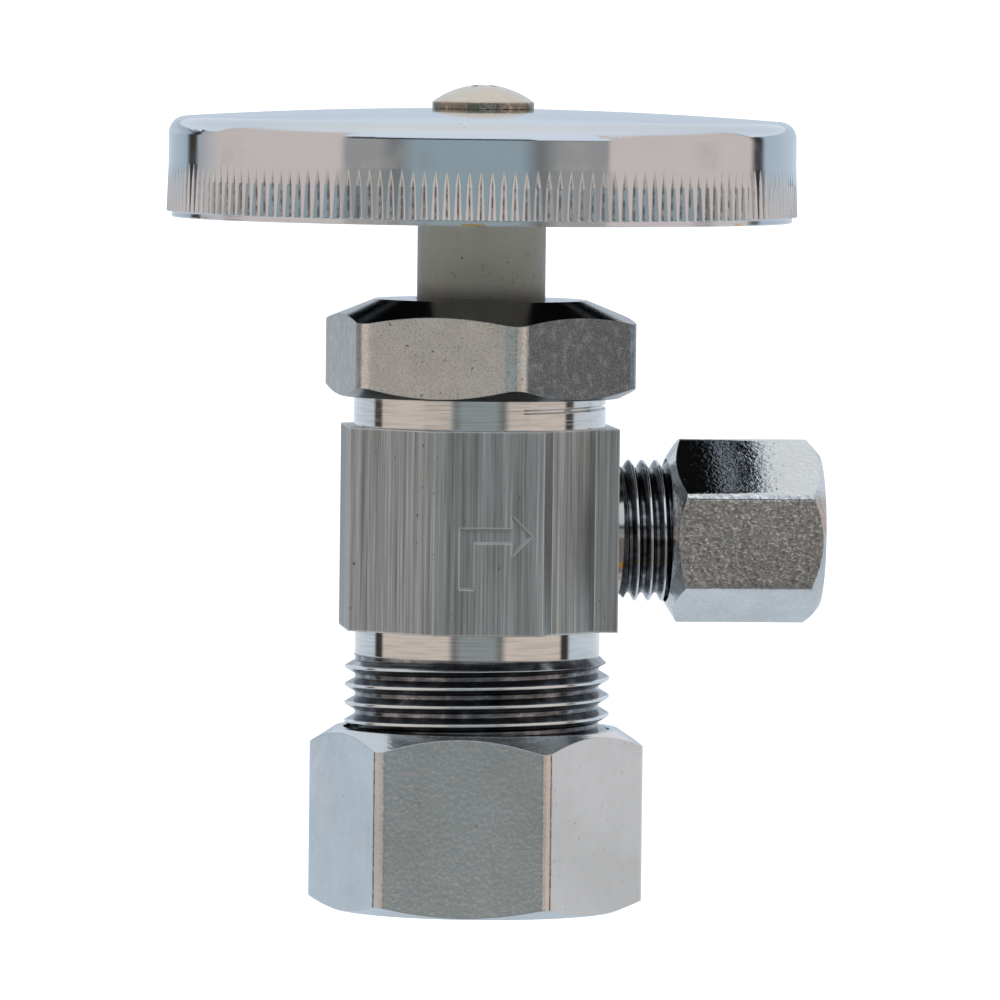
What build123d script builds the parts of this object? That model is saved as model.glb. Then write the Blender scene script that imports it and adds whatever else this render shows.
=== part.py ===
from build123d import *
import os
from math import cos, pi, radians, sin, sqrt, tan

# Angle stop valve: compression inlet below, compression outlet to one side, handwheel on top.
# Millimetres. +Z is up along the inlet and the stem, +X is along the outlet.
# The origin is the centre of the inlet nut's lower face.
# The stem stands 2 turns open, and both compression nuts are started on their threads.

INCH = 25.4

# ---- clearances -------------------------------------------------------------------------------
running = 0.08          # radial, thread crest in the smooth bore that stands for its mate
shaft_running = 0.05    # radial, stem in the packing
loose = 0.30            # radial, pieces of different bodies that pass each other
slip = 0.05             # pieces of one body that drop into each other, and axial play

# ---- tubes that the valve takes ---------------------------------------------------------------
inlet_tube_r = 15.875 / 2
outlet_tube_r = 6.35 / 2
inlet_tube_slip = 0.06
outlet_tube_slip = 0.07

# ---- inlet thread, 13/16-18 -------------------------------------------------------------------
inlet_end_wall = 1.50           # metal between the tube socket and the thread's root
inlet_thread_depth = 0.80
inlet_pitch = INCH / 18
inlet_thread_length = 11.0
inlet_crest_drop = 1.72         # one crest on the +X side, below the thread's top

# ---- outlet thread, 7/16-24 -------------------------------------------------------------------
outlet_end_wall = 1.635
outlet_thread_depth = 0.62
outlet_pitch = INCH / 24
outlet_crest_step = 1.32        # one crest on the lower side, beyond the thread's inner end

# ---- bonnet thread ----------------------------------------------------------------------------
bonnet_pitch = INCH / 20
bonnet_thread_depth = 0.16
bonnet_thread_rise = 1.45       # start of its groove above the block
bonnet_thread_turns = 2.3
bonnet_thread_start_deg = -75.0

# ---- stem and its washer ----------------------------------------------------------------------
stem_r = 4.99
stem_pitch = 1.75
turns_open = 2.0
stem_thread_step = 0.46         # the thread's root stands this far outside the shaft
stem_thread_depth = 0.85
stem_thread_length = 3.6
stem_top_stop_gap = 0.6
stem_neck_step = 0.25           # the neck under the thread is this much inside its root
holder_wall = 0.5
holder_floor = 1.0
washer_thick = 2.6
washer_grip = 1.6               # how deep the washer sits in its holder
washer_screw_r = 1.4
washer_screw_head_r = 2.7
washer_screw_head = 1.2
washer_screw_length = 8.0
spline_teeth = 12
spline_step = 1.09              # the spline's crests are this much inside the shaft
spline_depth = 0.45
spline_length = 4.8

# ---- valve body, upwards ----------------------------------------------------------------------
inlet_neck_step = 0.03          # plain neck above the inlet thread, outside the thread's root
inlet_neck_length = 2.0
block_height = 15.75
neck_length = 6.25
outlet_axis_rise = 7.72         # above the block's lower face
inlet_socket_depth = 8.4
tube_shoulder = 1.6             # radial, the stop at the end of the inlet socket
seat_throat_drop = 0.1          # below the block's lower face
seat_top_rise = 3.4             # above the block's lower face
seat_land = 0.8
seat_cover = 0.2                # the washer reaches this far past the land
seat_stand = 0.8
chamber_roof = 5.15             # metal above the chamber, in the block
inlet_mouth_wall = 0.55         # metal left at the thread's root round the inlet mouth

# ---- valve body, across -----------------------------------------------------------------------
packing_wall = 2.05             # neck metal round the packing pocket
barrel_step = 0.10              # each face of the block stands this far outside the neck
left_face_step = 0.65
pad_step = 0.90
pad_right_x = 4.05
barrel_start_deg = 60.3
boss_step = 0.56                # the boss's face stands this far outside the barrel
boss_margin = 0.02              # the boss is this much wider than the thread's root, each side
outlet_collar_length = 0.44
outlet_thread_length = 8.12
outlet_socket_depth = 6.1
outlet_port_r = 2.4
outlet_mouth_wall = 0.65
mouth_cone_deg = 30.0
arrow_depth = 0.35
arrow_bar = 1.1
arrow_head = 1.5

# ---- packing ----------------------------------------------------------------------------------
packing_wide = 2.76             # radial room for the packing round the stem
packing_floor = 2.65            # above the block
packing_washer_thick = 0.8
gland_ring_thick = 0.8

# ---- bonnet nut -------------------------------------------------------------------------------
bonnet_wall = 1.22              # metal outside the neck, at the middle of a flat
bonnet_corner_r = 1.9
bonnet_gap = 2.3                # between the block and the nut
bonnet_height = 7.55
bonnet_roof = 2.2
bonnet_top_inset = 2.85         # where each cone starts, inside the flats
bonnet_top_deg = 22.0
bonnet_bottom_inset = 0.2
bonnet_bottom_deg = 28.0
bonnet_corner_deg = -22.3

# ---- handwheel --------------------------------------------------------------------------------
wheel_gap = 6.2                 # stem that shows between the bonnet nut and the rim's lower edge
wheel_height = 8.6
wheel_r = 24.36
wheel_dome = 0.8                # rise of the top from its edge to its centre
wheel_edge_r = 1.3
wheel_wall = 1.0
lip_height = 0.45
lip_inset = 0.28
knurl_teeth = 177
knurl_flare = 0.12              # how far the rim spreads towards its foot
knurl_depth = 0.22
knurl_groove = 0.66             # width of a groove at its mouth
knurl_length = 3.8
knurl_point = 1.3               # height over which each groove narrows to its end
hub_r = 7.0
hub_bottom_gap = 2.6            # hub's lower face above the rim's lower edge

# ---- handwheel screw --------------------------------------------------------------------------
wheel_screw_head_r = 3.95
wheel_screw_rim = 0.5
wheel_screw_dome = 1.35
wheel_screw_r = 1.95
wheel_screw_length = 9.0
recess_arm = 1.3
recess_width = 0.6
recess_depth = 1.0

# ---- inlet compression nut and sleeve ---------------------------------------------------------
inlet_nut_wall = 1.07           # metal outside the thread bore, at the middle of a flat
inlet_nut_corner_r = 1.25
inlet_nut_height = 14.1
inlet_nut_grip = 5.3            # length of thread that is in the nut
inlet_nut_flange = 2.6
inlet_nut_top_inset = 0.40
inlet_nut_top_deg = 33.4
inlet_nut_bottom_inset = 0.25
inlet_nut_bottom_deg = 24.0
inlet_nut_corner_deg = -10.7
inlet_nut_hole_slip = 0.21
inlet_sleeve_gap = 0.8          # between the sleeve and the body's mouth
inlet_sleeve_wall = 0.75
inlet_sleeve_tip_wall = 0.32

# ---- outlet compression nut and sleeve --------------------------------------------------------
outlet_nut_wall = 0.77
outlet_nut_corner_r = 0.8
outlet_nut_grip = 4.4
outlet_nut_length = 11.9
outlet_nut_flange = 2.2
outlet_nut_inner_inset = 0.65
outlet_nut_inner_deg = 32.5
outlet_nut_outer_inset = 0.3
outlet_nut_outer_deg = 42.0
outlet_nut_corner_deg = 5.1
outlet_nut_hole_slip = 0.14
outlet_sleeve_gap = 0.5
outlet_sleeve_wall = 0.72
outlet_sleeve_tip_wall = 0.28

# ---- radii worked out from the sizes above ----------------------------------------------------
inlet_socket_r = inlet_tube_r + inlet_tube_slip
outlet_socket_r = outlet_tube_r + outlet_tube_slip
inlet_root_r = inlet_socket_r + inlet_end_wall
outlet_root_r = outlet_socket_r + outlet_end_wall
inlet_major_r = inlet_root_r + inlet_thread_depth
outlet_major_r = outlet_root_r + outlet_thread_depth
inlet_mouth_r = inlet_root_r - inlet_mouth_wall
outlet_mouth_r = outlet_root_r - outlet_mouth_wall
waterway_r = inlet_socket_r - tube_shoulder
inlet_nut_bore_r = inlet_major_r + running
outlet_nut_bore_r = outlet_major_r + running
stem_thread_root_r = stem_r + stem_thread_step
stem_thread_major_r = stem_thread_root_r + stem_thread_depth
stem_neck_r = stem_thread_root_r - stem_neck_step
holder_r = stem_thread_root_r - slip                # it goes in through the stem's thread
washer_r = holder_r - holder_wall - loose
seat_orifice_r = washer_r - seat_cover - seat_land
chamber_r = holder_r + loose
stem_bore_r = stem_thread_major_r + running
spline_r = stem_r - spline_step
packing_pocket_r = stem_r + packing_wide
neck_r = packing_pocket_r + packing_wall
bonnet_bore_r = neck_r + running
barrel_r = neck_r + barrel_step
left_face_x = -neck_r - left_face_step
pad_y = neck_r + pad_step
octagon_half = pad_y * tan(radians(22.5))           # half the width of an octagon's face
boss_half_width = outlet_root_r + boss_margin
knurl_crest_r = wheel_r + knurl_flare

# ---- places along the outlet ------------------------------------------------------------------
boss_face_x = barrel_r + boss_step
outlet_collar_x = boss_face_x + outlet_collar_length
body_outlet_end_x = outlet_collar_x + outlet_thread_length
outlet_socket_stop_x = body_outlet_end_x - outlet_socket_depth
outlet_nut_start_x = body_outlet_end_x - outlet_nut_grip
outlet_nut_end_x = outlet_nut_start_x + outlet_nut_length
outlet_flange_x = outlet_nut_end_x - outlet_nut_flange

# ---- heights ----------------------------------------------------------------------------------
body_inlet_end_z = inlet_nut_height - inlet_nut_grip
inlet_socket_stop_z = body_inlet_end_z + inlet_socket_depth
inlet_thread_top_z = body_inlet_end_z + inlet_thread_length
block_bottom_z = inlet_thread_top_z + inlet_neck_length
outlet_axis_z = block_bottom_z + outlet_axis_rise
block_top_z = block_bottom_z + block_height
neck_top_z = block_top_z + neck_length
seat_throat_z = block_bottom_z - seat_throat_drop
seat_top_z = block_bottom_z + seat_top_rise
chamber_top_z = block_top_z - chamber_roof
packing_pocket_z = block_top_z + packing_floor
bonnet_bottom_z = block_top_z + bonnet_gap
bonnet_top_z = bonnet_bottom_z + bonnet_height
bonnet_ceiling_z = bonnet_top_z - bonnet_roof
washer_bottom_z = seat_top_z + slip + turns_open * stem_pitch
washer_top_z = washer_bottom_z + washer_thick
holder_bottom_z = washer_top_z - washer_grip
holder_ceiling_z = washer_top_z + slip
holder_top_z = holder_ceiling_z + holder_floor
stem_thread_top_z = packing_pocket_z - stem_top_stop_gap
stem_thread_bottom_z = stem_thread_top_z - stem_thread_length
wheel_bottom_z = bonnet_top_z + wheel_gap
wheel_top_z = wheel_bottom_z + wheel_height
wheel_ceiling_z = wheel_top_z - wheel_wall
band_bottom_z = wheel_bottom_z + lip_height
knurl_top_z = band_bottom_z + knurl_length
hub_bottom_z = wheel_bottom_z + hub_bottom_gap
spline_top_z = hub_bottom_z + spline_length


def turned(outline):
    """A solid of revolution about Z from a closed outline of (radius, height) points."""
    with BuildPart() as piece:
        with BuildSketch(Plane.XZ):
            with BuildLine():
                Polyline(*outline, close=True)
            make_face()
        revolve(axis=Axis.Z)
    return piece.part


def rod(radius, bottom, top):
    """A cylinder about Z between two heights."""
    return Pos(0, 0, bottom) * Cylinder(radius, top - bottom, align=(Align.CENTER, Align.CENTER, Align.MIN))


def ring(inner_r, outer_r, bottom, top):
    """A plain ring about Z between two heights."""
    return rod(outer_r, bottom, top) - rod(inner_r, bottom, top)


def along_outlet(piece):
    """Turns a piece made about Z so that its Z runs along the outlet, with its X side down."""
    return Pos(0, 0, outlet_axis_z) * Rot(0, 90, 0) * piece


def hex_nut(flats, corner_r, corner_deg, bottom, top, bottom_r, bottom_deg, top_r, top_deg):
    """A hex with rounded corners and a cone at each end, as turned from bar."""
    blank = extrude(
        Pos(0, 0, bottom) * Rot(0, 0, corner_deg) * fillet(
            RegularPolygon(flats / sqrt(3), 6).vertices(), corner_r
        ),
        top - bottom,
    )
    reach = flats / sqrt(3) + slip
    bottom_drop = (reach - bottom_r) * tan(radians(bottom_deg))
    top_drop = (reach - top_r) * tan(radians(top_deg))
    envelope = turned(
        [
            (0, bottom),
            (bottom_r, bottom),
            (reach, bottom + bottom_drop),
            (reach, top - top_drop),
            (top_r, top),
            (0, top),
        ]
    )
    return blank & envelope


def helical_ridge(root_r, crest_r, pitch, bottom, top, crest_z):
    """A right-hand V ridge that covers bottom..top, with a crest at crest_z on the +X side."""
    bite = 0.12
    half_crest = pitch / 16
    half_root = half_crest + (crest_r - root_r + bite) * tan(radians(30))
    turns_below = int((crest_z - bottom) / pitch) + 2
    turns = turns_below + int((top - crest_z) / pitch) + 2
    foot_r = root_r - bite
    outline = [(foot_r, -half_root), (crest_r, -half_crest), (crest_r, half_crest), (foot_r, half_root)]
    section = make_face(Plane.XZ * Polyline(*outline, close=True))
    ridge = sweep(section, path=Helix(pitch, pitch * turns, foot_r), is_frenet=True)
    return Pos(0, 0, crest_z - turns_below * pitch) * ridge


def threaded_end(root_r, crest_r, pitch, bottom, top, crest_z, lead_in):
    """A male thread about Z: core and ridge, with a lead-in chamfer at the lower end."""
    outer_r = crest_r + 1
    envelope = turned(
        [
            (0, bottom),
            (crest_r - lead_in, bottom),
            (outer_r, bottom + lead_in + 1),
            (outer_r, top - lead_in - 1),
            (crest_r - lead_in, top),
            (0, top),
        ]
    )
    ridge = helical_ridge(root_r, crest_r, pitch, bottom, top, crest_z)
    return (rod(root_r, bottom, top) & envelope) + (ridge & envelope)


def compression_mouth(mouth_r, socket_r, end, stop):
    """The cutter for a tube socket that runs up from an end face, with the sleeve's cone at its mouth."""
    cone_depth = (mouth_r - socket_r) / tan(radians(mouth_cone_deg))
    return turned([(0, end), (mouth_r, end), (socket_r, end + cone_depth), (socket_r, stop), (0, stop)])


def compression_sleeve(socket_r, wall, tip_wall, bottom, top):
    """A brass ring with a taper at each end, about Z."""
    inner_r = socket_r + slip / 2
    taper = (top - bottom) / 4
    return turned(
        [
            (inner_r, bottom),
            (inner_r + tip_wall, bottom),
            (inner_r + wall, bottom + taper),
            (inner_r + wall, top - taper),
            (inner_r + tip_wall, top),
            (inner_r, top),
        ]
    )


def body_block():
    """The middle block: flats in front, behind and at the left, a barrel at the right, the outlet boss."""
    start = (barrel_r * cos(radians(barrel_start_deg)), barrel_r * sin(radians(barrel_start_deg)))
    middle = (barrel_r * cos(radians(45)), barrel_r * sin(radians(45)))
    end = (sqrt(barrel_r**2 - boss_half_width**2), boss_half_width)
    with BuildPart() as block:
        with BuildSketch(Plane.XY.offset(block_bottom_z)):
            with BuildLine():
                Polyline(
                    (left_face_x, 0),
                    (left_face_x, octagon_half),
                    (-octagon_half, pad_y),
                    (pad_right_x, pad_y),
                    start,
                )
                ThreePointArc(start, middle, end)
                Polyline(end, (boss_face_x, boss_half_width), (boss_face_x, 0))
                mirror(about=Plane.XZ)
            make_face()
        extrude(amount=block_top_z - block_bottom_z)
    return block.part


def flow_arrow():
    """The cutter for a plain flow arrow on the front pad: up from the inlet, then out to the outlet."""
    half_bar = arrow_bar / 2
    foot_z = block_bottom_z + 3.6
    turn_x = -1.9
    tip_x = 3.1
    shape = Polyline(
        (turn_x - half_bar, foot_z),
        (turn_x + half_bar, foot_z),
        (turn_x + half_bar, outlet_axis_z - half_bar),
        (tip_x - arrow_head, outlet_axis_z - half_bar),
        (tip_x - arrow_head, outlet_axis_z - arrow_head),
        (tip_x, outlet_axis_z),
        (tip_x - arrow_head, outlet_axis_z + arrow_head),
        (tip_x - arrow_head, outlet_axis_z + half_bar),
        (turn_x - half_bar, outlet_axis_z + half_bar),
        close=True,
    )
    face = make_face(Plane.XZ.offset(pad_y - arrow_depth) * shape)
    return extrude(face, 2 * arrow_depth)


def make_valve_body():
    outside = body_block()
    outside += rod(inlet_root_r + inlet_neck_step, inlet_thread_top_z, block_bottom_z)
    outside += threaded_end(
        inlet_root_r,
        inlet_major_r,
        inlet_pitch,
        body_inlet_end_z,
        inlet_thread_top_z,
        inlet_thread_top_z - inlet_crest_drop,
        inlet_thread_depth,
    )
    outside += rod(neck_r, block_top_z, neck_top_z)
    collar = rod(outlet_root_r, boss_face_x, outlet_collar_x)
    thread = threaded_end(
        outlet_root_r,
        outlet_major_r,
        outlet_pitch,
        -body_outlet_end_x,
        -outlet_collar_x,
        -outlet_collar_x - outlet_crest_step,
        outlet_thread_depth,
    )
    outside += along_outlet(collar)
    outside += along_outlet(Rot(180, 0, 0) * thread)

    bore = compression_mouth(inlet_mouth_r, inlet_socket_r, body_inlet_end_z, inlet_socket_stop_z)
    bore += turned(
        [
            (0, inlet_socket_stop_z),
            (waterway_r, inlet_socket_stop_z),
            (waterway_r, seat_throat_z - (waterway_r - seat_orifice_r)),
            (seat_orifice_r, seat_throat_z),
            (seat_orifice_r, seat_top_z),
            (seat_orifice_r + seat_land, seat_top_z),
            (seat_orifice_r + seat_land, seat_top_z - seat_stand),
            (chamber_r, seat_top_z - seat_stand),
            (chamber_r, chamber_top_z),
            (stem_bore_r, chamber_top_z),
            (stem_bore_r, packing_pocket_z),
            (packing_pocket_r, packing_pocket_z),
            (packing_pocket_r, neck_top_z),
            (0, neck_top_z),
        ]
    )
    port = rod(outlet_port_r, 0, outlet_socket_stop_x)
    mouth = compression_mouth(outlet_mouth_r, outlet_socket_r, -body_outlet_end_x, -outlet_socket_stop_x)
    bore += along_outlet(port + Rot(180, 0, 0) * mouth)
    return outside - bore - bonnet_groove() - flow_arrow()


def bonnet_groove():
    """The cutter for the right-hand thread that the bonnet nut holds on to. It starts in the open neck."""
    half_floor = bonnet_pitch / 16
    overshoot = 0.2
    half_mouth = half_floor + (bonnet_thread_depth + overshoot) * tan(radians(30))
    floor_r = neck_r - bonnet_thread_depth
    mouth_r = neck_r + overshoot
    outline = [(floor_r, -half_floor), (mouth_r, -half_mouth), (mouth_r, half_mouth), (floor_r, half_floor)]
    section = make_face(Plane.XZ * Polyline(*outline, close=True))
    path = Helix(bonnet_pitch, bonnet_pitch * bonnet_thread_turns, floor_r)
    groove = sweep(section, path=path, is_frenet=True)
    return Pos(0, 0, block_top_z + bonnet_thread_rise) * Rot(0, 0, bonnet_thread_start_deg) * groove


def make_bonnet_nut():
    half_flats = bonnet_bore_r + bonnet_wall
    nut = hex_nut(
        2 * half_flats,
        bonnet_corner_r,
        bonnet_corner_deg,
        bonnet_bottom_z,
        bonnet_top_z,
        half_flats - bonnet_bottom_inset,
        bonnet_bottom_deg,
        half_flats - bonnet_top_inset,
        bonnet_top_deg,
    )
    nut -= rod(bonnet_bore_r, bonnet_bottom_z, bonnet_ceiling_z)
    return nut - rod(stem_r + loose / 2, bonnet_ceiling_z, bonnet_top_z)


def make_gland_ring():
    return ring(
        stem_r + loose, packing_pocket_r - slip, bonnet_ceiling_z - gland_ring_thick, bonnet_ceiling_z
    )


def make_stem_packing():
    bottom = packing_pocket_z + packing_washer_thick
    top = bonnet_ceiling_z - gland_ring_thick
    return ring(stem_r + shaft_running, packing_pocket_r - slip, bottom, top)


def make_packing_washer():
    top = packing_pocket_z + packing_washer_thick
    return ring(stem_r + loose, packing_pocket_r - slip, packing_pocket_z, top)


def spline(radius, depth, bottom, top):
    """A toothed shaft about Z: round, with V grooves."""
    points = []
    for step in range(2 * spline_teeth):
        reach = radius if step % 2 == 0 else radius - depth
        angle = pi * step / spline_teeth
        points.append((reach * cos(angle), reach * sin(angle)))
    return extrude(Pos(0, 0, bottom) * make_face(Polyline(*points, close=True)), top - bottom)


def make_stem():
    stem = rod(holder_r, holder_bottom_z, holder_top_z)
    stem += rod(stem_neck_r, holder_top_z, stem_thread_bottom_z)
    stem += threaded_end(
        stem_thread_root_r,
        stem_thread_major_r,
        stem_pitch,
        stem_thread_bottom_z,
        stem_thread_top_z,
        stem_thread_bottom_z,
        stem_thread_depth / 2,
    )
    stem += rod(stem_r, stem_thread_top_z, hub_bottom_z)
    stem += spline(spline_r, spline_depth, hub_bottom_z, spline_top_z)
    stem -= rod(holder_r - holder_wall, holder_bottom_z, holder_ceiling_z)
    washer_screw_hole_top = washer_bottom_z + washer_screw_length + slip
    stem -= rod(washer_screw_r + slip, holder_ceiling_z, washer_screw_hole_top)
    wheel_screw_hole_bottom = wheel_top_z - wheel_screw_length - slip
    return stem - rod(wheel_screw_r + slip, wheel_screw_hole_bottom, spline_top_z)


def make_seat_washer():
    return ring(washer_screw_r + loose, washer_r, washer_bottom_z, washer_top_z)


def make_seat_washer_screw():
    head_top = washer_bottom_z - slip
    head_bottom = head_top - washer_screw_head
    screw = rod(washer_screw_head_r, head_bottom, head_top)
    screw += rod(washer_screw_r, head_top, washer_bottom_z + washer_screw_length)
    slot_width = washer_screw_head / 2
    slot = Pos(0, 0, head_bottom) * Box(4 * washer_screw_head_r, slot_width, washer_screw_head)
    return screw - slot


def wheel_shell():
    """The drawn cup: a domed top, a rounded edge, a plain wall and a lip set in at its foot."""
    edge_top_z = wheel_top_z - wheel_dome
    edge_top_r = wheel_r - wheel_edge_r
    edge_mid = wheel_edge_r * sin(radians(45))
    lip_r = wheel_r - lip_inset
    inner_r = wheel_r - wheel_wall
    inner_edge_r = wheel_edge_r - wheel_wall / 2
    inner_edge_z = wheel_ceiling_z - wheel_dome - inner_edge_r
    inner_mid = inner_edge_r * sin(radians(45))
    with BuildPart() as shell:
        with BuildSketch(Plane.XZ):
            with BuildLine():
                ThreePointArc(
                    (0, wheel_top_z), (edge_top_r / 2, wheel_top_z - wheel_dome / 4), (edge_top_r, edge_top_z)
                )
                ThreePointArc(
                    (edge_top_r, edge_top_z),
                    (edge_top_r + edge_mid, edge_top_z - wheel_edge_r + edge_mid),
                    (wheel_r, edge_top_z - wheel_edge_r),
                )
                Polyline(
                    (wheel_r, edge_top_z - wheel_edge_r),
                    (wheel_r, knurl_top_z),
                    (knurl_crest_r, band_bottom_z),
                    (lip_r, band_bottom_z),
                    (lip_r, wheel_bottom_z),
                    (inner_r, wheel_bottom_z),
                    (inner_r, inner_edge_z),
                )
                ThreePointArc(
                    (inner_r, inner_edge_z),
                    (inner_r - inner_edge_r + inner_mid, inner_edge_z + inner_mid),
                    (inner_r - inner_edge_r, inner_edge_z + inner_edge_r),
                )
                Polyline(
                    (inner_r - inner_edge_r, inner_edge_z + inner_edge_r),
                    (0, wheel_ceiling_z),
                    (0, wheel_top_z),
                )
            make_face()
        revolve(axis=Axis.Z)
    return shell.part


def knurl_grooves():
    """The cutters for the knurl: V grooves open at the foot, each narrowing to a point at the top."""
    floor_r = knurl_crest_r - knurl_depth
    reach = knurl_crest_r + knurl_flare
    half_mouth = knurl_groove / 2 * (reach - floor_r) / knurl_depth
    outline = Polyline((floor_r, 0), (reach, half_mouth), (reach, -half_mouth), close=True)
    foot = Pos(0, 0, wheel_bottom_z) * make_face(outline)
    shoulder_z = knurl_top_z - knurl_point
    shoulder = Pos(0, 0, shoulder_z) * make_face(outline)
    tip_z = shoulder_z + knurl_point * (reach - floor_r) / (wheel_r - floor_r)
    groove = extrude(foot, shoulder_z - wheel_bottom_z) + loft([shoulder, Vertex(reach, 0, tip_z)])
    return [Rot(0, 0, 360 * tooth / knurl_teeth) * groove for tooth in range(knurl_teeth)]


def make_handwheel():
    wheel = wheel_shell() - knurl_grooves()
    wheel += rod(hub_r, hub_bottom_z, wheel_ceiling_z)
    wheel -= rod(wheel_screw_r + 2 * slip, hub_bottom_z, wheel_top_z)
    return wheel - spline(spline_r + slip, spline_depth, hub_bottom_z, spline_top_z + slip)


def make_handwheel_screw():
    head_top = wheel_top_z + wheel_screw_rim
    dome_r = (wheel_screw_head_r**2 + wheel_screw_dome**2) / (2 * wheel_screw_dome)
    apex = head_top + wheel_screw_dome
    shoulder = wheel_screw_head_r / 2
    shoulder_z = apex - dome_r + sqrt(dome_r**2 - shoulder**2)
    with BuildPart() as head:
        with BuildSketch(Plane.XZ):
            with BuildLine():
                ThreePointArc((0, apex), (shoulder, shoulder_z), (wheel_screw_head_r, head_top))
                Polyline(
                    (wheel_screw_head_r, head_top),
                    (wheel_screw_head_r, wheel_top_z),
                    (0, wheel_top_z),
                    (0, apex),
                )
            make_face()
        revolve(axis=Axis.Z)
    screw = head.part + rod(wheel_screw_r, wheel_top_z - wheel_screw_length, wheel_top_z)
    arm = Box(2 * recess_arm, recess_width, 2 * recess_depth)
    cross = arm + Rot(0, 0, 90) * arm
    return screw - Pos(0, 0, apex) * Rot(0, 0, 45) * cross


def make_inlet_nut():
    half_flats = inlet_nut_bore_r + inlet_nut_wall
    nut = hex_nut(
        2 * half_flats,
        inlet_nut_corner_r,
        inlet_nut_corner_deg,
        0,
        inlet_nut_height,
        half_flats - inlet_nut_bottom_inset,
        inlet_nut_bottom_deg,
        half_flats - inlet_nut_top_inset,
        inlet_nut_top_deg,
    )
    nut -= rod(inlet_tube_r + inlet_nut_hole_slip, 0, inlet_nut_flange)
    return nut - rod(inlet_nut_bore_r, inlet_nut_flange, inlet_nut_height)


def make_inlet_sleeve():
    bottom = inlet_nut_flange + slip
    top = body_inlet_end_z - inlet_sleeve_gap
    return compression_sleeve(inlet_socket_r, inlet_sleeve_wall, inlet_sleeve_tip_wall, bottom, top)


def make_outlet_nut():
    half_flats = outlet_nut_bore_r + outlet_nut_wall
    nut = hex_nut(
        2 * half_flats,
        outlet_nut_corner_r,
        outlet_nut_corner_deg,
        outlet_nut_start_x,
        outlet_nut_end_x,
        half_flats - outlet_nut_inner_inset,
        outlet_nut_inner_deg,
        half_flats - outlet_nut_outer_inset,
        outlet_nut_outer_deg,
    )
    nut -= rod(outlet_tube_r + outlet_nut_hole_slip, outlet_flange_x, outlet_nut_end_x)
    nut -= rod(outlet_nut_bore_r, outlet_nut_start_x, outlet_flange_x)
    return along_outlet(nut)


def make_outlet_sleeve():
    inner = body_outlet_end_x + outlet_sleeve_gap
    outer = outlet_flange_x - slip
    return along_outlet(
        compression_sleeve(outlet_socket_r, outlet_sleeve_wall, outlet_sleeve_tip_wall, inner, outer)
    )


pieces = {
    "valve_body": make_valve_body,
    "bonnet_nut": make_bonnet_nut,
    "gland_ring": make_gland_ring,
    "stem_packing": make_stem_packing,
    "packing_washer": make_packing_washer,
    "stem": make_stem,
    "seat_washer": make_seat_washer,
    "seat_washer_screw": make_seat_washer_screw,
    "handwheel": make_handwheel,
    "handwheel_screw": make_handwheel_screw,
    "inlet_nut": make_inlet_nut,
    "inlet_sleeve": make_inlet_sleeve,
    "outlet_nut": make_outlet_nut,
    "outlet_sleeve": make_outlet_sleeve,
}

os.makedirs("parts", exist_ok=True)
for name, make in pieces.items():
    export_step(make(), f"parts/{name}.step")
    print("wrote", name)
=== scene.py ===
from math import cos, pi, radians, sin

import bpy
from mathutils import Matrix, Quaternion, Vector


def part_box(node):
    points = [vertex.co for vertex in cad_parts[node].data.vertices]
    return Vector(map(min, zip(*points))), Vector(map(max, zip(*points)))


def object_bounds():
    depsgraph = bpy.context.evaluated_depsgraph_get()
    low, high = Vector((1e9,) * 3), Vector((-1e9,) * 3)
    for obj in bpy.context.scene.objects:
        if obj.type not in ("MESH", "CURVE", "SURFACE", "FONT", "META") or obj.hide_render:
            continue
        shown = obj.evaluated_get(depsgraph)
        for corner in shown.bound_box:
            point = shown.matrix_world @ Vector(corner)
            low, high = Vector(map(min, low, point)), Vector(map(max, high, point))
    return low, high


# Angle stop valve: looks for the CAD nodes, a pale floor, soft studio light and the camera.
# Everything is in metres, in the CAD frame: +Z up the stem, +X along the outlet.

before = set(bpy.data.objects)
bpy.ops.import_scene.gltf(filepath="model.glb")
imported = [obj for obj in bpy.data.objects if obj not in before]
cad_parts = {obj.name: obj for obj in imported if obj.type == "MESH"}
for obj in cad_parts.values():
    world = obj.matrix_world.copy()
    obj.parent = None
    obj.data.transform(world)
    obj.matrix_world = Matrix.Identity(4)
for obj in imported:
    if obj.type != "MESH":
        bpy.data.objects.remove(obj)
cad_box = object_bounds()

MM = 0.001

# ---- camera -----------------------------------------------------------------------------------
CAMERA_AZIMUTH = radians(-5.5)
CAMERA_ELEVATION = radians(2.8)
CAMERA_DISTANCE = 0.835
CAMERA_TARGET_Z = 31.8 * MM
CAMERA_SHIFT_RIGHT = 1.65 * MM
CAMERA_ROLL = radians(0.65)
CAMERA_LENS = 386.7

# ---- where the finishes begin and end, in millimetres -----------------------------------------
INLET_THREAD_LENGTH = 11.0
LOWER_NECK_HEIGHT = 2.0
BLOCK_HEIGHT = 15.75
OUTLET_REACH = 8.55                 # from the boss's face to the end of the outlet thread
COLLAR_LENGTH = 0.40                # the plain ring between that face and the thread
INLET_CREST_R = 10.30               # a little inside the thread's crests
OUTLET_CREST_R = 5.50
SCREW_DOME = 1.85                   # from the wheel screw's top down to the dome's foot
WHEEL_INSET = 0.75                  # from the knurl's crests in to the rough inside, painted near-black as shade
WHEEL_ROOF = 0.95                   # from the wheel's top down to it
CORNER_IN = 1.6                     # the rounding between the wheel's wall and its roof
CORNER_DOWN = 1.2
KNURL_LOW = 0.45                    # above the wheel's foot
KNURL_HIGH = 4.3

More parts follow.
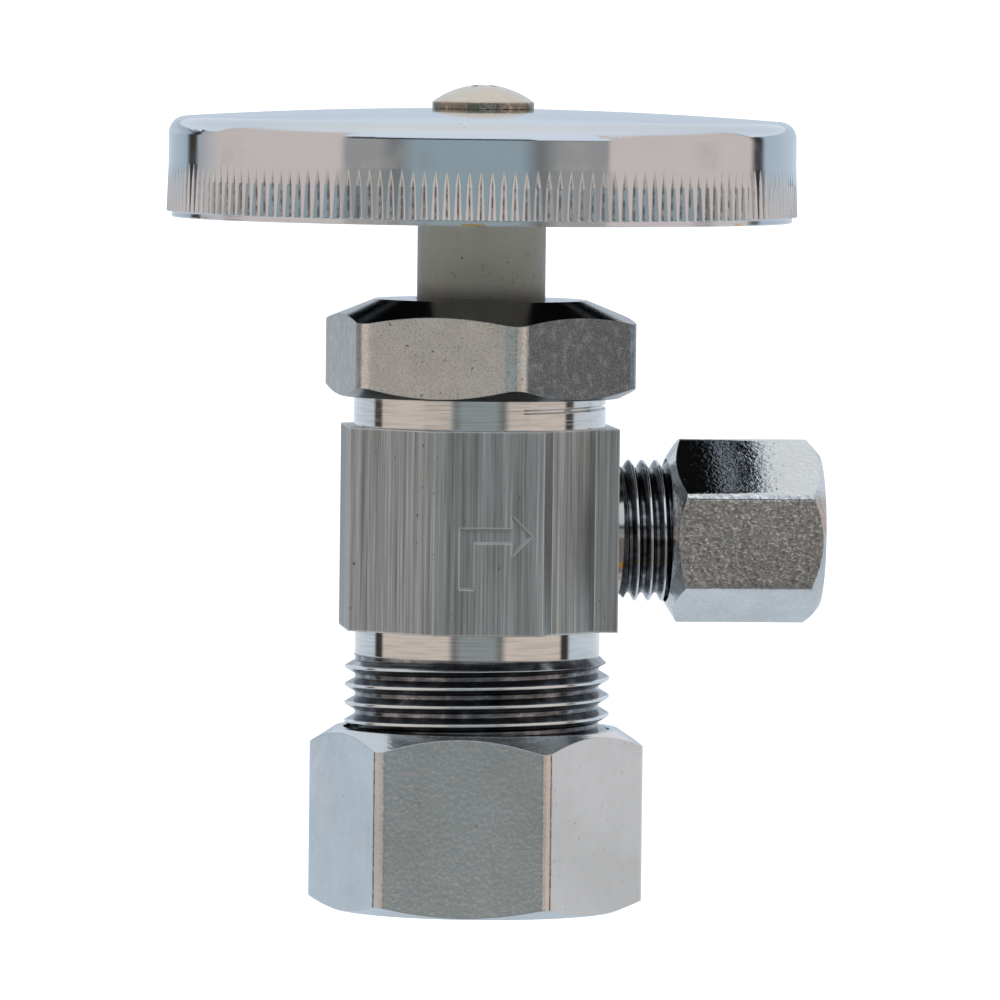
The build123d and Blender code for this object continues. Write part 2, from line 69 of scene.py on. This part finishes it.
# ---- places read from the frame, in millimetres -----------------------------------------------
WHEEL_LOW, WHEEL_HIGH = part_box("handwheel")
OUTLET_LOW, OUTLET_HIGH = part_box("outlet_nut")
BODY_LOW, BODY_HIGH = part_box("valve_body")
WHEEL_R = WHEEL_HIGH.x / MM
WHEEL_FOOT = WHEEL_LOW.z / MM
WHEEL_TOP = WHEEL_HIGH.z / MM
BONNET_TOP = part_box("bonnet_nut")[1].z / MM
SCREW_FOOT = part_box("handwheel_screw")[1].z / MM - SCREW_DOME
OUTLET_CENTRE_Z = (OUTLET_LOW.z + OUTLET_HIGH.z) / 2 / MM
BOSS_FACE_X = BODY_HIGH.x / MM - OUTLET_REACH
COLLAR_END_X = BOSS_FACE_X + COLLAR_LENGTH
INLET_THREAD_TOP = BODY_LOW.z / MM + INLET_THREAD_LENGTH
BLOCK_LOW = INLET_THREAD_TOP + LOWER_NECK_HEIGHT
BLOCK_HIGH = BLOCK_LOW + BLOCK_HEIGHT


# ---- node helpers -----------------------------------------------------------------------------
class Graph:
    """A node tree with short calls: every method returns an output socket."""

    def __init__(self, tree):
        self.tree = tree
        self.nodes = tree.nodes
        self.nodes.clear()

    def add(self, kind, **settings):
        node = self.nodes.new(kind)
        for key, value in settings.items():
            setattr(node, key, value)
        return node

    def put(self, socket, value):
        if isinstance(value, bpy.types.NodeSocket):
            self.tree.links.new(value, socket)
        else:
            socket.default_value = value

    def math(self, operation, a, b=0.0, c=0.0):
        node = self.add("ShaderNodeMath", operation=operation)
        for socket, value in zip(node.inputs, (a, b, c)):
            self.put(socket, value)
        return node.outputs[0]

    def span(self, value, low, high, to_low=0.0, to_high=1.0):
        """value from low..high, smoothly and clamped, to to_low..to_high."""
        node = self.add("ShaderNodeMapRange", interpolation_type="SMOOTHSTEP")
        for socket, item in zip(node.inputs, (value, low, high, to_low, to_high)):
            self.put(socket, item)
        return node.outputs[0]

    def window(self, value, low, high, soft):
        """1 where value lies from low to high, with edges of the given softness."""
        rise = self.span(value, low - soft, low + soft)
        fall = self.span(value, high - soft, high + soft, 1.0, 0.0)
        return self.math("MULTIPLY", rise, fall)

    def mix(self, factor, a, b):
        """From colour a to colour b. Each is a socket or red, green and blue."""
        node = self.add("ShaderNodeMix", data_type="RGBA")
        self.put(node.inputs["Factor"], factor)
        for socket, colour in zip(node.inputs[6:8], (a, b)):
            self.put(socket, (*colour, 1.0) if isinstance(colour, tuple) else colour)
        return node.outputs[2]

    def blend(self, factor, a, b):
        """From number a to number b."""
        node = self.add("ShaderNodeMix", data_type="FLOAT")
        for index, value in ((0, factor), (2, a), (3, b)):
            self.put(node.inputs[index], value)
        return node.outputs[0]

    def stain(self, colour, mask, strength, tint):
        """The colour with a tint over it, of the given strength where the mask is 1."""
        return self.mix(self.math("MULTIPLY", mask, strength), colour, tint)

    def ramp(self, value, stops):
        node = self.add("ShaderNodeValToRGB")
        ramp = node.color_ramp
        while len(ramp.elements) < len(stops):
            ramp.elements.new(0.5)
        for element, (place, colour) in zip(ramp.elements, stops):
            element.position = place
            element.color = (*colour, 1.0)
        self.put(node.inputs[0], value)
        return node.outputs["Color"]

    def noise(self, vector, scale, detail=3.0, roughness=0.5, distortion=0.0):
        node = self.add("ShaderNodeTexNoise")
        self.put(node.inputs["Vector"], vector)
        node.inputs["Scale"].default_value = scale
        node.inputs["Detail"].default_value = detail
        node.inputs["Roughness"].default_value = roughness
        node.inputs["Distortion"].default_value = distortion
        return node.outputs["Fac"]

    def cells(self, vector, scale):
        node = self.add("ShaderNodeTexVoronoi")
        self.put(node.inputs["Vector"], vector)
        node.inputs["Scale"].default_value = scale
        return node.outputs["Distance"]

    def place(self):
        """The point on the object in millimetres, in the CAD frame."""
        coords = self.add("ShaderNodeTexCoord")
        node = self.add("ShaderNodeVectorMath", operation="SCALE")
        self.put(node.inputs[0], coords.outputs["Object"])
        node.inputs["Scale"].default_value = 1 / MM
        return node.outputs[0]

    def stretch(self, vector, scale):
        node = self.add("ShaderNodeVectorMath", operation="MULTIPLY")
        self.put(node.inputs[0], vector)
        node.inputs[1].default_value = scale
        return node.outputs[0]

    def parts(self, vector):
        node = self.add("ShaderNodeSeparateXYZ")
        self.put(node.inputs[0], vector)
        return node.outputs

    def facing(self):
        """The way the surface faces, as X, Y and Z in the CAD frame. It turns with the piece."""
        return self.parts(self.add("ShaderNodeTexCoord").outputs["Normal"])

    def edges(self, radius):
        """1 along the sharp edges, 0 on the faces, from how far a rounded normal leaves the bare one."""
        bare = self.add("ShaderNodeNewGeometry").outputs["True Normal"]
        node = self.add("ShaderNodeVectorMath", operation="DOT_PRODUCT")
        self.put(node.inputs[0], bare)
        self.put(node.inputs[1], self.soft_edge(radius))
        return self.span(node.outputs["Value"], 0.998, 0.97)

    def radius(self, a, b):
        """The distance from an axis, from the two coordinates across it."""
        squares = self.math("ADD", self.math("MULTIPLY", a, a), self.math("MULTIPLY", b, b))
        return self.math("SQRT", squares)

    def bump(self, height, distance, strength=1.0, normal=None):
        node = self.add("ShaderNodeBump")
        self.put(node.inputs["Height"], height)
        node.inputs["Distance"].default_value = distance
        node.inputs["Strength"].default_value = strength
        if normal is not None:
            self.put(node.inputs["Normal"], normal)
        return node.outputs[0]

    def soft_edge(self, radius):
        node = self.add("ShaderNodeBevel", samples=6)
        node.inputs["Radius"].default_value = radius
        return node.outputs[0]


def material(name):
    """A new material, its graph and its Principled shader, wired to the output."""
    made = bpy.data.materials.new(name)
    made.use_nodes = True
    graph = Graph(made.node_tree)
    shader = graph.add("ShaderNodeBsdfPrincipled")
    output = graph.add("ShaderNodeOutputMaterial")
    graph.tree.links.new(shader.outputs[0], output.inputs["Surface"])
    return made, graph, shader


def finish_shader(graph, shader, colour, roughness, normal, metallic=1.0):
    graph.put(shader.inputs["Base Color"], colour)
    graph.put(shader.inputs["Roughness"], roughness)
    graph.put(shader.inputs["Normal"], normal)
    graph.put(shader.inputs["Metallic"], metallic)


# ---- materials --------------------------------------------------------------------------------
def wheel_chrome():
    """Bright plate outside with painted shade on its upward faces, a rough inside painted near-black as
    shade, dust and painted shade in the knurl's grooves and a little brass at the lip.
    """
    made, g, shader = material("wheel_chrome")
    point = g.place()
    x, y, z = g.parts(point)
    r = g.radius(x, y)

    def within(radius, top):
        return g.math("MULTIPLY", g.math("LESS_THAN", r, radius), g.math("LESS_THAN", z, top))

    wall_r = WHEEL_R - WHEEL_INSET
    roof = WHEEL_TOP - WHEEL_ROOF
    inside = g.math("MAXIMUM", within(wall_r, roof - CORNER_DOWN), within(wall_r - CORNER_IN, roof))

    specks = g.span(g.cells(point, 0.9), 0.0, 0.07, 1.0, 0.0)
    sparse = g.span(g.noise(point, 0.35), 0.52, 0.6)
    specks = g.math("MULTIPLY", specks, sparse)
    lip = g.window(z, WHEEL_FOOT + 0.02, WHEEL_FOOT + 0.20, 0.03)
    streaks = g.noise(g.stretch(point, (1.0, 1.0, 0.3)), 0.55, 4.0)
    brass_tinted = g.math("MULTIPLY", lip, g.span(streaks, 0.60, 0.64))
    knurl = g.window(z, WHEEL_FOOT + KNURL_LOW, WHEEL_FOOT + KNURL_HIGH, 0.1)
    groove = g.math("MULTIPLY", knurl, g.span(r, WHEEL_R - 0.13, WHEEL_R - 0.21))
    # dust and painted shade: the knurl's grooves are darkened
    groove_dust_and_shade = g.math("MULTIPLY", groove, g.span(g.noise(point, 1.6, 4.0), 0.35, 0.6, 0.2, 0.8))
    plate = g.mix(g.noise(point, 0.12, 2.0), (0.64, 0.67, 0.70), (0.71, 0.73, 0.75))
    # painted shade: the faces that look up, the wheel's top, are darkened
    top = g.span(g.facing()[2], 0.2, 0.7, 0.0, 0.4)
    plate = g.mix(top, plate, (0.42, 0.44, 0.46))
    plate = g.mix(brass_tinted, plate, (0.70, 0.47, 0.20))
    plate = g.mix(specks, plate, (0.10, 0.08, 0.07))
    plate = g.mix(groove_dust_and_shade, plate, (0.07, 0.068, 0.066))
    # painted shade: the rough inside is made near-black
    colour = g.mix(inside, plate, (0.018, 0.017, 0.017))
    smooth = g.span(g.noise(point, 0.5, 4.0), 0.3, 0.7, 0.05, 0.10)
    roughness = g.math("MAXIMUM", smooth, g.math("MULTIPLY", inside, 0.55))
    normal = g.bump(g.noise(point, 0.5, 2.0), 0.006 * MM, 0.5, g.soft_edge(0.13 * MM))
    normal = g.bump(g.noise(point, 12.0, 2.0), 0.0006 * MM, 0.5, normal)
    finish_shader(g, shader, colour, roughness, normal)
    return made


def hex_chrome(name, peel_scale, peel_depth, painted_relief, cream_reflection, smooth, rough, tones):
    """Plated hex bar: an orange peel with painted highlights and painted shade on its slopes, strongest
    in front, a painted cream reflection on the right-hand flats, scattered dents and faint stains.

    painted_relief is how strongly painted light and shade follow the peel's slopes, cream_reflection how
    far the right-hand flats turn to cream as a painted reflection, and tones are the plate's two shades.
    """
    made, g, shader = material(name)
    point = g.place()
    across, outward, _ = g.facing()
    beside = g.add("ShaderNodeVectorMath", operation="ADD")
    g.put(beside.inputs[0], point)
    beside.inputs[1].default_value = (0.10, 0.10, 0.14)
    peel, peel_beside = (g.noise(at, peel_scale, 2.0, 0.55, 0.35) for at in (point, beside.outputs[0]))
    slope = g.math("SUBTRACT", peel, peel_beside)
    dents = g.span(g.cells(g.stretch(point, (2.2, 2.2, 1.1)), 0.55), 0.0, 0.16, 0.0, 1.0)
    colour = g.mix(g.noise(point, 0.28, 4.0), *tones)
    # painted light and shade: the peel's slopes are darkened and lightened in colour, most on the front
    # flats
    in_front = g.span(outward, -0.80, -0.95, 0.15 * painted_relief, painted_relief)
    painted_hollow_shade = g.math("MULTIPLY", g.span(slope, 0.03, 0.20), in_front)
    colour = g.stain(colour, painted_hollow_shade, 0.6, (0.16, 0.16, 0.15))
    # painted highlight on the peel's slopes
    colour = g.stain(colour, g.span(slope, -0.04, -0.16), in_front, (0.98, 0.96, 0.92))
    # painted reflection: the flats that face right turn cream
    colour = g.stain(colour, g.span(across, 0.28, 0.42), cream_reflection, (0.82, 0.68, 0.58))
    patch = g.span(g.noise(point, 0.13, 3.0, 0.5), 0.42, 0.68)
    colour = g.stain(colour, patch, 0.22, (0.36, 0.33, 0.28))
    pinholes = g.span(g.cells(point, 1.1), 0.03, 0.08, 1.0, 0.0)
    rare = g.span(g.noise(point, 0.5), 0.50, 0.60)
    colour = g.stain(colour, pinholes, rare, (0.03, 0.03, 0.03))
    roughness = g.span(g.noise(point, 1.2, 4.0), 0.3, 0.7, smooth, rough)
    normal = g.bump(peel, peel_depth * MM, 1.0, g.soft_edge(0.10 * MM))
    normal = g.bump(dents, 0.012 * MM, 1.0, normal)
    finish_shader(g, shader, colour, roughness, normal)
    return made


def bonnet_nickel():
    """Warm grey plate with a fine grain, painted shade on the flats at both sides and on the faces that
    look down, painted highlights in the grain and a near-black cone.
    """
    made, g, shader = material("bonnet_nickel")
    point = g.place()
    across, _, up = g.facing()
    grain = g.noise(point, 8.5, 3.0, 0.65)
    tone = g.noise(point, 0.35, 4.0)
    colour = g.mix(tone, (0.54, 0.55, 0.53), (0.74, 0.745, 0.71))
    blue = g.span(g.noise(point, 0.45, 4.0, 0.6), 0.52, 0.70, 0.0, 0.5)
    colour = g.mix(blue, colour, (0.60, 0.68, 0.74))
    # painted shade: the flats that face right and left are darkened
    colour = g.mix(g.span(across, 0.45, 0.62, 0.0, 0.88), colour, (0.11, 0.14, 0.165))
    colour = g.mix(g.span(across, -0.70, -0.92, 0.0, 0.70), colour, (0.117, 0.095, 0.062))
    cloud = g.noise(point, 1.3, 4.0, 0.6)
    colour = g.mix(g.span(cloud, 0.45, 0.70, 0.0, 0.16), colour, (0.95, 0.93, 0.90))
    # painted highlights: light bluish speckles on the grain
    colour = g.mix(g.span(grain, 0.50, 0.68, 0.0, 0.24), colour, (0.80, 0.84, 0.88))
    colour = g.mix(g.span(grain, 0.48, 0.32, 0.0, 0.5), colour, (0.10, 0.10, 0.09))
    pores = g.span(g.noise(point, 2.6, 4.0), 0.66, 0.71)
    colour = g.stain(colour, pores, 0.7, (0.08, 0.072, 0.065))
    # the sloping cone is darkened to near black
    cone = g.window(up, 0.5, 0.97, 0.02)
    colour = g.stain(colour, cone, 0.88, (0.085, 0.075, 0.07))
    # painted shade: the faces that look down are darkened
    underside_shade = g.span(up, -0.25, -0.4)
    colour = g.stain(colour, underside_shade, 0.8, (0.07, 0.065, 0.06))
    sloped = g.math("MAXIMUM", cone, g.span(up, 0.9, 0.95))
    roughness = g.math("SUBTRACT", g.span(grain, 0.3, 0.7, 0.17, 0.24), g.math("MULTIPLY", sloped, 0.08))
    normal = g.bump(grain, 0.005 * MM, 0.8, g.soft_edge(0.10 * MM))
    finish_shader(g, shader, colour, roughness, normal)
    return made


def body_chrome():
    """One piece, three finishes: a drawn block, polished necks and oily threads at both ends."""
    made, g, shader = material("body_satin_chrome")
    point = g.place()
    x, y, z = g.parts(point)
    on_block = g.window(z, BLOCK_LOW, BLOCK_HIGH, 0.01)
    outlet_r = g.radius(y, g.math("SUBTRACT", z, OUTLET_CENTRE_Z))
    on_outlet = g.math("GREATER_THAN", x, BOSS_FACE_X)
    on_block = g.math("MULTIPLY", on_block, g.math("SUBTRACT", 1.0, on_outlet))

    lines = g.stretch(point, (1.0, 1.0, 0.014))
    coarse = g.noise(lines, 1.3, 2.0, 0.6)
    fine = g.noise(lines, 6.0, 3.0, 0.7)
    drawn = g.math("ADD", g.math("MULTIPLY", coarse, 0.45), g.math("MULTIPLY", fine, 0.55))
    shades = [(0.34, (0.155, 0.16, 0.157)), (0.5, (0.355, 0.37, 0.365)), (0.66, (0.60, 0.625, 0.62))]
    _, outward, up = g.facing()
    # painted light: the flat that faces front is lightened
    block = g.stain(g.ramp(drawn, shades), g.span(outward, -0.98, -0.995), 0.13, (0.85, 0.83, 0.80))
    # painted highlight: light lines along the block's edges
    block = g.stain(block, g.edges(0.25 * MM), 0.8, (0.80, 0.79, 0.77))
    soot = g.span(g.noise(g.stretch(point, (1.0, 1.0, 0.45)), 2.6, 4.0), 0.70, 0.76)
    block = g.stain(block, soot, 0.7, (0.05, 0.046, 0.042))
    # painted shade: the block's faces that look up and down are darkened
    ledge_shade = g.span(g.math("ABSOLUTE", up), 0.5, 0.8)
    block = g.mix(ledge_shade, block, (0.07, 0.067, 0.062))

    rings = g.noise(g.stretch(point, (0.05, 0.05, 1.0)), 6.0, 2.0)
    neck = g.mix(g.span(rings, 0.4, 0.7), (0.66, 0.66, 0.65), (0.56, 0.56, 0.55))

    inlet_thread = g.span(z, INLET_THREAD_TOP + 0.05, INLET_THREAD_TOP - 0.1)
    r = g.radius(x, y)
    inlet_crest = g.span(r, INLET_CREST_R - 0.20, INLET_CREST_R - 0.05)
    outlet_crest = g.span(outlet_r, OUTLET_CREST_R - 0.16, OUTLET_CREST_R - 0.04)
    crest = g.blend(on_outlet, inlet_crest, outlet_crest)
    oil = g.noise(g.stretch(point, (1.0, 1.0, 2.2)), 0.7, 4.0, 0.6)
    oily = [(0.35, (0.08, 0.081, 0.088)), (0.55, (0.19, 0.193, 0.208)), (0.78, (0.42, 0.425, 0.44))]
    thread = g.mix(crest, g.ramp(oil, oily), (0.70, 0.71, 0.71))
    threaded = g.math("MAXIMUM", inlet_thread, on_outlet)
    collar = g.math("MULTIPLY", on_outlet, g.math("LESS_THAN", x, COLLAR_END_X))
    above_axis = g.math("SUBTRACT", z, OUTLET_CENTRE_Z)
    spot = g.math("MULTIPLY", collar, g.window(above_axis, -2.75, -2.25, 0.10))
    glint_streak = g.math("MULTIPLY", outlet_crest, g.window(above_axis, -2.16, -2.06, 0.03))
    # brass wear on the collar spot, and a painted glint along the thread's crests
    brass_tinted = g.math("MULTIPLY", g.math("LESS_THAN", y, 0.0), g.math("MAXIMUM", spot, glint_streak))
    thread = g.mix(collar, thread, (0.52, 0.50, 0.48))
    thread = g.mix(brass_tinted, thread, (1.0, 0.60, 0.10))

    colour = g.mix(threaded, neck, thread)
    colour = g.mix(on_block, colour, block)
    smooth = g.blend(threaded, 0.07, 0.15)
    satin = g.span(fine, 0.3, 0.7, 0.44, 0.54)
    roughness = g.blend(on_block, smooth, satin)
    lines_height = g.math("MULTIPLY", drawn, on_block)
    normal = g.bump(lines_height, 0.045 * MM, 0.9, g.soft_edge(0.09 * MM))
    turned = g.math("MULTIPLY", rings, g.math("SUBTRACT", 1.0, on_block))
    normal = g.bump(turned, 0.004 * MM, 0.6, normal)
    finish_shader(g, shader, colour, roughness, normal)
    return made


def stem_plastic():
    """Warm grey acetal, faintly mottled, with dirty black specks, and darker just where it meets the nut.
    """
    made, g, shader = material("stem_plastic")
    point = g.place()
    z = g.parts(point)[2]
    tone = g.noise(g.stretch(point, (1.0, 1.0, 0.5)), 0.5, 4.0)
    colour = g.mix(tone, (0.325, 0.312, 0.262), (0.385, 0.376, 0.326))
    # darker just above the bonnet nut
    darker_near_nut = g.span(z, BONNET_TOP + 1.6, BONNET_TOP + 0.1)
    colour = g.stain(colour, darker_near_nut, 0.30, (0.10, 0.09, 0.06))
    low = g.span(z, BONNET_TOP + 5.0, BONNET_TOP + 1.0, 0.35, 1.0)
    scuffs = g.math("MULTIPLY", g.span(g.noise(point, 1.7, 4.0, 0.6), 0.58, 0.66), low)
    colour = g.stain(colour, scuffs, 0.35, (0.14, 0.13, 0.10))
    specks = g.span(g.cells(point, 0.75), 0.045, 0.095, 1.0, 0.0)
    colour = g.stain(colour, specks, 0.9, (0.03, 0.02, 0.02))
    roughness = g.span(g.noise(point, 1.5, 3.0), 0.3, 0.7, 0.38, 0.52)
    normal = g.bump(g.noise(point, 3.0, 4.0), 0.012 * MM, 0.5, g.soft_edge(0.08 * MM))
    finish_shader(g, shader, colour, roughness, normal, 0.0)
    return made


def screw_nickel():
    """Warm nickel dome, tarnished round its foot."""
    made, g, shader = material("screw_nickel")
    point = g.place()
    z = g.parts(point)[2]
    foot = g.span(z, SCREW_FOOT + 0.70, SCREW_FOOT + 0.30)
    mottle = g.span(g.noise(point, 2.2, 4.0, 0.6), 0.28, 0.52)
    plate = g.mix(g.noise(point, 1.1, 4.0), (0.55, 0.48, 0.40), (0.65, 0.58, 0.49))
    colour = g.stain(plate, foot, mottle, (0.24, 0.215, 0.17))
    roughness = g.span(g.noise(point, 2.0, 3.0), 0.3, 0.7, 0.22, 0.32)
    normal = g.bump(g.noise(point, 3.5, 4.0), 0.012 * MM, 0.6, g.soft_edge(0.10 * MM))
    finish_shader(g, shader, colour, roughness, normal)
    return made


def bare_brass():
    """Turned brass with fine rings."""
    made, g, shader = material("bare_brass")
    point = g.place()
    rings = g.noise(g.stretch(point, (0.05, 0.05, 1.0)), 5.0, 3.0)
    colour = g.mix(g.noise(point, 0.8, 3.0), (0.70, 0.50, 0.22), (0.80, 0.60, 0.30))
    roughness = g.span(rings, 0.3, 0.7, 0.20, 0.32)
    normal = g.bump(rings, 0.008 * MM, 0.7, g.soft_edge(0.06 * MM))
    finish_shader(g, shader, colour, roughness, normal)
    return made


def packing_rubber():
    """Dark moulded rubber."""
    made, g, shader = material("packing_rubber")
    point = g.place()
    colour = g.mix(g.noise(point, 1.2, 4.0), (0.025, 0.025, 0.025), (0.05, 0.048, 0.045))
    roughness = g.span(g.noise(point, 2.0, 3.0), 0.3, 0.7, 0.55, 0.75)
    normal = g.bump(g.noise(point, 5.0, 4.0), 0.02 * MM, 0.6, g.soft_edge(0.15 * MM))
    finish_shader(g, shader, colour, roughness, normal, 0.0)
    return made


plain_brass = bare_brass()
plain_rubber = packing_rubber()
inlet_chrome = hex_chrome(
    "nut_chrome_inlet",
    peel_scale=3.2,
    peel_depth=0.012,
    painted_relief=0.13,
    cream_reflection=0.5,
    smooth=0.10,
    rough=0.16,
    tones=((0.46, 0.49, 0.50), (0.62, 0.65, 0.67)),
)
outlet_chrome = hex_chrome(
    "nut_chrome_outlet",
    peel_scale=3.0,
    peel_depth=0.019,
    painted_relief=0.95,
    cream_reflection=0.0,
    smooth=0.06,
    rough=0.10,
    tones=((0.54, 0.55, 0.55), (0.64, 0.66, 0.67)),
)
looks = {
    "valve_body": body_chrome(),
    "bonnet_nut": bonnet_nickel(),
    "gland_ring": plain_brass,
    "stem_packing": plain_rubber,
    "packing_washer": plain_brass,
    "stem": stem_plastic(),
    "seat_washer": plain_rubber,
    "seat_washer_screw": plain_brass,
    "handwheel": wheel_chrome(),
    "handwheel_screw": screw_nickel(),
    "inlet_nut": inlet_chrome,
    "inlet_sleeve": plain_brass,
    "outlet_nut": outlet_chrome,
    "outlet_sleeve": plain_brass,
}
for node, look in looks.items():
    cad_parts[node].material_slots[0].material = look


# ---- floor ------------------------------------------------------------------------------------
FLOOR_DROP = 250 * MM
FLOOR_HALF = 40.0


def make_floor():
    """A wide pale floor, too far below to take a shadow in the picture, and not mirrored in the part."""
    mesh = bpy.data.meshes.new("floor")
    corners = [(x * FLOOR_HALF, y * FLOOR_HALF, 0) for x, y in ((-1, -1), (1, -1), (1, 1), (-1, 1))]
    mesh.from_pydata(corners, [], [(0, 1, 2, 3)])
    floor = bpy.data.objects.new("floor", mesh)
    bpy.context.scene.collection.objects.link(floor)
    floor.location.z = cad_box[0][2] - FLOOR_DROP
    floor.visible_glossy = False
    made, _, shader = material("floor_white")
    shader.inputs["Base Color"].default_value = (0.86, 0.87, 0.88, 1)
    shader.inputs["Roughness"].default_value = 0.9
    shader.inputs["Emission Color"].default_value = (1, 1, 1, 1)
    shader.inputs["Emission Strength"].default_value = 0.45
    mesh.materials.append(made)


# ---- light ------------------------------------------------------------------------------------
FRONT = (sin(CAMERA_AZIMUTH), -cos(CAMERA_AZIMUTH), 0.0)
RIGHT = (cos(CAMERA_AZIMUTH), sin(CAMERA_AZIMUTH), 0.0)

GREY_BLUE = (0.35, 0.44, 0.48)
GREY = (0.37, 0.365, 0.36)
SHADE = (0.20, 0.21, 0.21)
BEIGE = (0.74, 0.645, 0.61)
NECK_BEIGE = (0.79, 0.69, 0.62)
NECK_GREY = (0.34, 0.375, 0.38)
GAP = (0.05, 0.045, 0.04)
DUSK = (0.42, 0.46, 0.50)
SKY = (0.84, 0.92, 1.02)
ZENITH = (1.0, 1.03, 1.06)
PALE = (0.70, 0.78, 0.86)
BACK_BLUE = (0.66, 0.74, 0.84)
BACK_SHADE = (0.58, 0.66, 0.76)
LEFT_BLUE = (0.42, 0.51, 0.58)
RIGHT_BLUE = (0.50, 0.59, 0.67)
LOW_GREY = (0.24, 0.235, 0.23)
CREAM = (0.66, 0.575, 0.49)
BACKDROP = (1.1, 1.1, 1.1)


def turn(degrees):
    """An azimuth about the part as a place on a ramp: 0.5 is the front, more is to the right."""
    return 0.5 + degrees / 360


def make_light():
    """A light tent as a world: a grey front, a warm softbox at each side, cool white behind and above."""
    world = bpy.data.worlds.new("studio")
    bpy.context.scene.world = world
    world.use_nodes = True
    g = Graph(world.node_tree)
    coords = g.add("ShaderNodeTexCoord")
    direction = coords.outputs["Generated"]

    def along(axis):
        node = g.add("ShaderNodeVectorMath", operation="DOT_PRODUCT")
        g.put(node.inputs[0], direction)
        node.inputs[1].default_value = axis
        return node.outputs["Value"]

    around = g.math("ARCTAN2", along(RIGHT), along(FRONT))
    place = g.math("MULTIPLY_ADD", around, 1 / (2 * pi), 0.5)
    height = g.math("MULTIPLY", g.math("ARCSINE", along((0, 0, 1))), 180 / pi)

    at_wheel = g.ramp(
        place,
        [
            (turn(-180), BACK_BLUE),
            (turn(-139), LEFT_BLUE),
            (turn(-136), GAP),
            (turn(-130), GAP),
            (turn(-128), DUSK),
            (turn(-112), BEIGE),
            (turn(-52.5), BEIGE),
            (turn(-51.5), GREY),
            (turn(-38), GREY),
            (turn(-32), SHADE),
            (turn(-24), GREY_BLUE),
            (turn(14), GREY_BLUE),
            (turn(21), SHADE),
            (turn(29), GREY),
            (turn(46.5), GREY),
            (turn(47.5), BEIGE),
            (turn(116), BEIGE),
            (turn(119), GAP),
            (turn(124), GAP),
            (turn(127), RIGHT_BLUE),
            (turn(180), BACK_BLUE),
        ],
    )
    at_neck = g.ramp(
        place,
        [
            (turn(-180), SKY),
            (turn(-114), PALE),
            (turn(-110), GAP),
            (turn(-102), GAP),
            (turn(-99), NECK_BEIGE),
            (turn(-28), NECK_BEIGE),
            (turn(-22), SHADE),
            (turn(-15), NECK_GREY),
            (turn(15), NECK_GREY),
            (turn(22), SHADE),
            (turn(28), NECK_BEIGE),
            (turn(84), NECK_BEIGE),
            (turn(87), GAP),
            (turn(94), GAP),
            (turn(98), PALE),
            (turn(180), SKY),
        ],
    )
    below = g.ramp(
        place,
        [
            (turn(-180), PALE),
            (turn(-75), PALE),
            (turn(-45), LOW_GREY),
            (turn(45), LOW_GREY),
            (turn(75), PALE),
            (turn(180), PALE),
        ],
    )
    ring = g.mix(g.span(height, -1.8, -1.55), at_neck, at_wheel)
    ring = g.mix(g.span(height, -8.0, -11.0), ring, below)
    low_strip = g.window(place, turn(-40), turn(40), 0.02)
    ring = g.stain(ring, g.window(height, -10.2, -6.4, 0.5), low_strip, CREAM)
    high_edge = g.window(place, turn(-50), turn(46), 0.004)
    ring = g.stain(ring, g.window(height, 5.0, 12.0, 0.5), high_edge, GAP)
    left_back = g.span(place, turn(-140), turn(-160))
    right_back = g.span(place, turn(140), turn(160))
    behind = g.math("MAXIMUM", left_back, right_back)
    ring = g.stain(ring, behind, g.window(height, 0.2, 7.0, 0.4), BACK_SHADE)
    left_box = g.window(place, turn(-116), turn(-52), 0.003)
    right_box = g.window(place, turn(47), turn(118), 0.003)
    tall = g.math("ADD", left_box, right_box)
    above = g.blend(tall, g.span(height, 11.5, 13.0), g.span(height, 28.0, 42.0))
    sky = g.mix(above, ring, SKY)
    sky = g.mix(g.span(height, 20.0, 70.0), sky, ZENITH)

    seen = g.add("ShaderNodeLightPath").outputs["Is Camera Ray"]
    shown = g.mix(seen, sky, BACKDROP)
    background = g.add("ShaderNodeBackground")
    g.put(background.inputs["Color"], shown)
    output = g.add("ShaderNodeOutputWorld")
    g.tree.links.new(background.outputs[0], output.inputs["Surface"])
    world.cycles.sampling_method = "MANUAL"
    world.cycles.sample_map_resolution = 1024


# ---- camera -----------------------------------------------------------------------------------
def make_camera():
    data = bpy.data.cameras.new("camera")
    camera = bpy.data.objects.new("camera", data)
    bpy.context.scene.collection.objects.link(camera)
    data.sensor_width = 36.0
    data.lens = CAMERA_LENS
    data.clip_start = 0.01
    data.clip_end = 200.0
    away = Vector(FRONT) * cos(CAMERA_ELEVATION) + Vector((0, 0, sin(CAMERA_ELEVATION)))
    target = Vector((0, 0, CAMERA_TARGET_Z)) + Vector(RIGHT) * CAMERA_SHIFT_RIGHT
    camera.location = target + away * CAMERA_DISTANCE
    facing = (-away).to_track_quat("-Z", "Y")
    camera.rotation_mode = "QUATERNION"
    camera.rotation_quaternion = facing @ Quaternion((0, 0, 1), CAMERA_ROLL)
    bpy.context.scene.camera = camera


make_floor()
make_light()
make_camera()
bpy.context.scene.view_settings.view_transform = "Standard"
